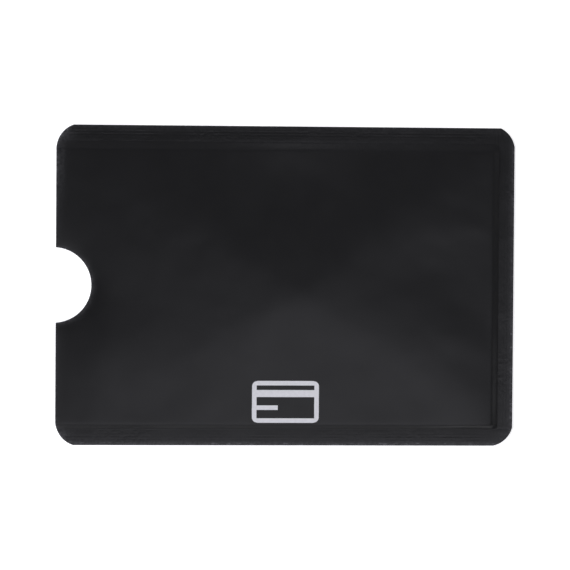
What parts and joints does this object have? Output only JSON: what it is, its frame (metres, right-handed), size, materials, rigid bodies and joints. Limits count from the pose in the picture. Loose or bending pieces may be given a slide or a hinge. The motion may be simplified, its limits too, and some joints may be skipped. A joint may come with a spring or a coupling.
{
  "type": "card sleeve",
  "caption": "Flat foil-laminate sleeve for one bank-size card, open at one short end with a half-round thumb notch.",
  "frame": {"origin": "on the resting face, under the middle of the sleeve's outline", "axes": "+X from the mouth to the closed end, +Y to the upper long edge, +Z out of the printed front"},
  "size_m": [0.0904, 0.063, 0.0022],
  "materials": {
    "black_film": "satin",
    "bright_foil": "satin",
    "clear_liner": "satin",
    "fused_seal": "matte",
    "silver_ink": "satin"
  },
  "bodies": {
    "root": {"front_film": "black_film", "back_film": "black_film", "front_foil": "bright_foil", "back_foil": "bright_foil", "front_liner": "clear_liner", "back_liner": "clear_liner", "seam_top": "fused_seal", "seam_bottom": "fused_seal", "seam_end": "fused_seal", "printed_sign": "silver_ink"}
  },
  "joints": []
}
